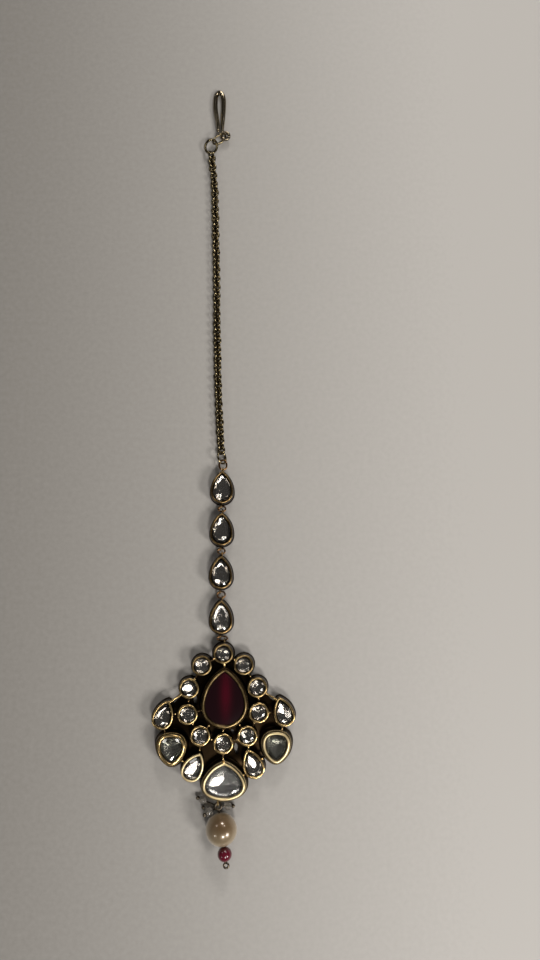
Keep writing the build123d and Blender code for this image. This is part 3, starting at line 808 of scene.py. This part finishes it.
# ---------------------------------------------------------------- ruby
# The big middle stone is dark red glass, polished smooth and nearly flat. Its lighter red streak along the
# middle is a painted reflection of the foil under the glass.
PAINTED_STREAK_AT, PAINTED_STREAK_HALF, PAINTED_STREAK_EDGE = (0.0003, 0.0010), (0.0012, 0.0050), 0.37
ruby_glass, tree, shader = new_material("ruby_red_glass")
cloud = noise_node(tree, 260)
axes = placed(tree, cloud)
# Painted reflection: a lighter red streak round a place near the middle, broken up by the cloud.
aside = math_node(tree, "MULTIPLY", math_node(tree, "ADD", axes["X"], -PAINTED_STREAK_AT[0]), 1 / PAINTED_STREAK_HALF[0])
ahead = math_node(tree, "MULTIPLY", math_node(tree, "ADD", axes["Y"], -PAINTED_STREAK_AT[1]), 1 / PAINTED_STREAK_HALF[1])
far_out = math_node(tree, "MULTIPLY_ADD", aside, aside, math_node(tree, "MULTIPLY", ahead, ahead))
painted_streak = math_node(tree, "POWER", PAINTED_STREAK_EDGE, far_out)
painted_streak = math_node(tree, "MULTIPLY", painted_streak, math_node(tree, "MULTIPLY_ADD", cloud.outputs["Fac"], 0.6, 0.7))
tree.links.new(mix_colour(tree, painted_streak, (0.0095, 0.0020, 0.0032, 1), (0.052, 0.0022, 0.0078, 1)),
               shader.inputs["Base Color"])
shader.inputs["Roughness"].default_value = 0.14
shader.inputs["IOR"].default_value = 1.5

RUBY_TOP = SETTINGS["ruby"]["height"]
RUBY_SPACING = 0.16
RUBY_SHOULDER, RUBY_CLOSING = 0.2, 4.2  # past the shoulder, levels close in on the middle
RUBY_LEVELS = [  # out past the edge, height
    (0, 1.0), (0, RUBY_TOP - 0.30), (-0.10, RUBY_TOP - 0.29), (-0.30, RUBY_TOP - 0.27),
    (-0.7, RUBY_TOP - 0.225), (-1.2, RUBY_TOP - 0.17)]
RUBY_DOME = [(0.35, -0.11), (0.7, -0.075)]  # share of the way to the middle, height from the rim
RUBY_MIDDLE_LIFT = -0.06
middle = Vector(seat_of("ruby")) + Vector((0, -0.6))
verts = []
for grow, z in RUBY_LEVELS:
    past = max(0, -grow - RUBY_SHOULDER)
    for place in outline_of("ruby", max(grow, -RUBY_SHOULDER), RUBY_SPACING):
        point = Vector(place)
        verts.append((*(point + (middle - point) * past / RUBY_CLOSING), z))
count = len(verts) // len(RUBY_LEVELS)
faces = walls(count, len(RUBY_LEVELS))
crown = len(verts) - count
for share, lift in RUBY_DOME:
    base = len(verts) - count
    verts += [(*(Vector(verts[crown + i][:2]).lerp(middle, share)), RUBY_TOP + lift) for i in range(count)]
    faces += [(base + i, base + (i + 1) % count, base + count + (i + 1) % count, base + count + i)
              for i in range(count)]
verts.append((*middle, RUBY_TOP + RUBY_MIDDLE_LIFT))
last = len(verts) - 1
faces += [(last - count + i, last - count + (i + 1) % count, last) for i in range(count)]
settle(add_piece("ruby_polished", verts, faces, ruby_glass), "ruby_glass", "ruby")


# ---------------------------------------------------------------- jump rings
# Rings of gold plated wire, each bent round to a narrow slit. Five lie flat, through the eyes and
# for the small beads, and four are turned, between the top drop, the chain and the hook.
ring_gold = plated("ring_gold", (0.24, 0.125, 0.05, 1), (0.03, 0.015, 0.007, 1), 0.20, 0.35, wear_and_light=False)
wire_gold = plated("wire_gold", (0.17, 0.135, 0.075, 1), (0.030, 0.023, 0.013, 1), 0.16, 0.35, wear_and_light=False)


def oval_ring(centre, half_width, half_length, wire, roll=0, turn=0, slit=0.05, slit_at=200, count=44):
    """Oval ring of round wire, flat before it is rolled about Y and turned about Z."""
    opening = slit / max(half_width, half_length)
    start = math.radians(slit_at) + opening / 2
    pose = Matrix.Rotation(math.radians(turn), 3, "Z") @ Matrix.Rotation(math.radians(roll), 3, "Y")
    line = []
    for k in range(count + 1):
        a = start + (2 * math.pi - opening) * k / count
        line.append(Vector(centre) + pose @ Vector((half_width * math.cos(a), half_length * math.sin(a), 0)))
    return tube(line, wire, cap="cut")


FLAT_RINGS = {  # wire radius and where the slit is
    "jump_ring_1": (0.20, 12), "jump_ring_2": (0.20, 170), "jump_ring_3": (0.20, 5),
    "jump_ring_4": (0.20, 186), "dangle_ring": (0.14, 90),
}
TURNED_RINGS = {  # half width, half length, wire radius, roll, turn, slit, where the slit is
    "drop_top_ring": (0.90, 1.20, 0.21, -10, 3, 0.05, 20),
    "chain_end_ring": (1.32, 1.46, 0.24, 49, 10, 0.22, 172),
    "chain_top_ring": (1.45, 1.90, 0.31, 3, -15, 0.06, 70),
    "hook_ring": (1.10, 1.86, 0.24, 65, -56, 0.05, 30),
}
for node, (wire, slit_at) in FLAT_RINGS.items():
    low, high = (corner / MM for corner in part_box(node))
    half = (high - low) / 2
    ring = oval_ring((low + high) / 2, half.x - wire, half.y - wire, wire, slit_at=slit_at)
    settle(add_piece(f"{node}_wire", *ring, ring_gold), "antique_gold", node)
for node, ring in TURNED_RINGS.items():
    metal, slot = (ring_gold, "antique_gold") if node.startswith("drop") else (wire_gold, "antique_wire")
    settle(add_piece(f"{node}_wire", *oval_ring(middle_of(node), *ring), metal), slot, node)


# ---------------------------------------------------------------- chain
# A rolo chain of round links of round wire, each turned across the one before, darkened all over.
# The links follow one smooth line, and the first and last of them reach into the rings.
CHAIN_ROUTE = [(-1.18, 57.59), (-1.95, 70.0), (-2.28, 84.0), (-2.50, 100.0), (-2.88, 116.0), (-3.12, 126.4),
               (-4.05, 133.75)]
LINK_PITCH = 1.14
LINK_RADIUS = 0.855
LINK_WIRE = 0.28
FLAT_TURN, UPRIGHT_TURN = 32, -52
FLAT_Z, UPRIGHT_Z = 0.86, 0.98
CHAIN_PAST = 0.15  # how far the last link stands past the line's end
TURN_SPREAD, LIFT_SPREAD, SIDE_SPREAD = 7, 0.06, 0.05
LINK_POINTS, LINK_SIDES = 26, 10

route = bpy.data.curves.new("chain_route", "CURVE")
route.dimensions = "3D"
thread = route.splines.new("NURBS")
thread.points.add(len(CHAIN_ROUTE) - 1)
for point, (x, y) in zip(thread.points, CHAIN_ROUTE):
    point.co = (x, y, 0, 1)
thread.order_u = 3
thread.use_endpoint_u = True
thread.resolution_u = 24
holder = bpy.data.objects.new("chain_route", route)
drawn = bpy.data.meshes.new_from_object(holder)
line = [v.co.copy() for v in drawn.vertices]
bpy.data.objects.remove(holder)
travelled = [0.0]
for a, b in zip(line, line[1:]):
    travelled.append(travelled[-1] + (b - a).length)


def along_chain(distance):
    """Place and direction at a distance along the chain's line."""
    k = 0
    while k < len(line) - 2 and travelled[k + 1] < distance:
        k += 1
    share = (distance - travelled[k]) / (travelled[k + 1] - travelled[k])
    return line[k].lerp(line[k + 1], share), (line[k + 1] - line[k]).normalized()


links = []
chance = random.Random(11)
turns = [2 * math.pi * i / LINK_POINTS for i in range(LINK_POINTS)]
total = round((travelled[-1] + CHAIN_PAST) / LINK_PITCH)
for k in range(total + 1):
    middle, heading = along_chain((travelled[-1] + CHAIN_PAST) * k / total)
    upright = k % 2
    lean = math.radians((UPRIGHT_TURN if upright else FLAT_TURN) + chance.uniform(-TURN_SPREAD, TURN_SPREAD))
    side = Vector((heading.y, -heading.x, 0)) * math.cos(lean) + Vector((0, 0, math.sin(lean)))
    middle.z = UPRIGHT_Z if upright else FLAT_Z + chance.uniform(-LIFT_SPREAD, LIFT_SPREAD)
    middle.x += chance.uniform(-SIDE_SPREAD, SIDE_SPREAD)
    links.append(tube([middle + (heading * math.cos(a) + side * math.sin(a)) * LINK_RADIUS for a in turns],
                      LINK_WIRE, sides=LINK_SIDES, closed=True))
settle(add_piece("chain_links", *joined(links), wire_gold), "antique_wire", "chain")


# ---------------------------------------------------------------- hair hook
# One thick wire bent to a long narrow loop that slides into the hair, thinned at the neck, with
# its end curled to an eye.
HOOK_TOP_Z, HOOK_EYE_Z = 0.60, 1.15
HOOK_TOP_Y = 151.54
HOOK_EYE = (-0.52, 139.12)
HOOK_EYE_RADIUS, HOOK_EYE_WIRE = 0.95, 0.40
HOOK_EYE_TURN, HOOK_EYE_STEPS = 285, 10
HOOK_LEGS = [  # x, y, wire radius
    (-2.33, 140.60, 0.40), (-2.42, 142.50, 0.47), (-3.02, 146.50, 0.57), (-3.08, 149.20, 0.58),
    (-2.86, 150.72, 0.57), (-2.05, HOOK_TOP_Y, 0.56), (-1.26, 150.72, 0.57), (-0.97, 149.20, 0.58),
    (-0.98, 146.50, 0.57), (-1.22, 142.50, 0.50)]


def hook_place(x, y):
    """A place on the hook's wire, which rises evenly from its top bend to its eye."""
    rise = (HOOK_EYE_Z - HOOK_TOP_Z) * (HOOK_TOP_Y - y) / (HOOK_TOP_Y - HOOK_EYE[1])
    return Vector((x, y, HOOK_TOP_Z + rise))


legs = [(hook_place(x, y), wire) for x, y, wire in HOOK_LEGS]
for k in range(HOOK_EYE_STEPS + 1):
    angle = math.radians(180 + HOOK_EYE_TURN * k / HOOK_EYE_STEPS)
    legs.append((hook_place(*point_on(*HOOK_EYE, HOOK_EYE_RADIUS, angle)), HOOK_EYE_WIRE))


def smooth_line(points, pieces=8):
    """Rounded line through (place, radius) points."""
    places, radii = [], []
    for k in range(len(points) - 1):
        four = [points[max(k - 1, 0)], points[k], points[k + 1], points[min(k + 2, len(points) - 1)]]
        for s in range(pieces):
            t = s / pieces
            weights = ((-t + 2 * t * t - t ** 3) / 2, (2 - 5 * t * t + 3 * t ** 3) / 2,
                       (t + 4 * t * t - 3 * t ** 3) / 2, (t ** 3 - t * t) / 2)
            places.append(sum((p * w for (p, _), w in zip(four, weights)), Vector((0, 0, 0))))
            radii.append(sum(r * w for (_, r), w in zip(four, weights)))
    return places + [points[-1][0]], radii + [points[-1][1]]


hook_metal = plated("hook_metal", (0.27, 0.225, 0.155, 1), (0.030, 0.025, 0.017, 1), 0.12, 0.35, wear_and_light=False)
hook = add_piece("hair_hook_wire", *tube(*smooth_line(legs), sides=20), hook_metal)
settle(hook, "antique_wire", "hair_hook")


# ---------------------------------------------------------------- pearl drop
# A glass pearl dipped in a champagne lacquer and a small red glass bead, both drilled through and
# threaded on a headpin. The pin is bent to a loop at each end.
PEARL_RADIUS, RED_BEAD_RADIUS, PIN_HOLE = 3.5, 1.58, 0.27
GOLD_REFLECTION_FROM, GOLD_REFLECTION_OVER = -0.0288, 0.0036  # where the painted reflection of the gold pendant starts, browning towards it
pearl_lacquer, tree, shader = new_material("pearl_lacquer")
# Painted sheen: the pearl's edge is made paler by mixing Layer Weight's Facing into the base colour.
edge = tree.nodes.new("ShaderNodeLayerWeight")
edge.inputs["Blend"].default_value = 0.35
cloud = noise_node(tree, 350, 4)
axes = placed(tree)
# Painted reflection: the pearl turns browner towards the gold pendant.
painted_gold_reflection = math_node(tree, "MULTIPLY", math_node(tree, "ADD", axes["Y"], -GOLD_REFLECTION_FROM), 1 / GOLD_REFLECTION_OVER)
painted_gold_reflection = math_node(tree, "MINIMUM", math_node(tree, "MAXIMUM", painted_gold_reflection, 0.0), 1.0)
body = mix_colour(tree, cloud.outputs["Fac"], (0.135, 0.092, 0.048, 1), (0.190, 0.134, 0.076, 1))
body = mix_colour(tree, painted_gold_reflection, body, (0.125, 0.058, 0.014, 1))
body = mix_colour(tree, edge.outputs["Facing"], body, (0.56, 0.44, 0.27, 1))
tree.links.new(body, shader.inputs["Base Color"])
shader.inputs["Metallic"].default_value = 0.25
shader.inputs["Roughness"].default_value = 0.30
shader.inputs["Coat Weight"].default_value = 0.8
shader.inputs["Coat Roughness"].default_value = 0.10
shader.inputs["Sheen Weight"].default_value = 0.2

red_glass, tree, shader = new_material("red_bead_glass")
cloud = noise_node(tree, 700)
tree.links.new(mix_colour(tree, cloud.outputs["Fac"], (0.075, 0.004, 0.012, 1), (0.14, 0.008, 0.022, 1)),
               shader.inputs["Base Color"])
shader.inputs["Roughness"].default_value = 0.16
shader.inputs["Coat Weight"].default_value = 0.5

pearl_at, bead_at = middle_of("pearl"), middle_of("red_bead")
down = (bead_at - pearl_at).normalized()
pearl = add_piece("pearl_ball", *ball(pearl_at, PEARL_RADIUS, down, 48, PIN_HOLE), pearl_lacquer)
settle(pearl, "pearl", "pearl")
bead = add_piece("red_bead_ball", *ball(bead_at, RED_BEAD_RADIUS, down, 32, PIN_HOLE), red_glass)
settle(bead, "red_glass", "red_bead")


# ---------------------------------------------------------------- pins and small beads
# Dark plated pins: the headpin through the pearl, and four short ones with a ball at one end and
# a loop at the other, each holding one small clear glass bead.
dark_wire = plated("dark_wire", (0.13, 0.105, 0.075, 1), (0.035, 0.028, 0.02, 1), 0.24, 0.3, wear_and_light=False)
for node in ["drop_pin"] + [f"bead_pin_{k}" for k in range(1, 5)]:
    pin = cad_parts[node]
    pin.data.materials.clear()
    pin.data.materials.append(dark_wire)

bead_glass = clear_glass("clear_bead_glass", (0.80, 0.76, 0.69, 1), 0.88, 1.5, 1500, 0.02, 0.16)
for k in range(1, 5):
    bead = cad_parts[f"glass_bead_{k}"]
    bead.data.materials.clear()
    bead.data.materials.append(bead_glass)
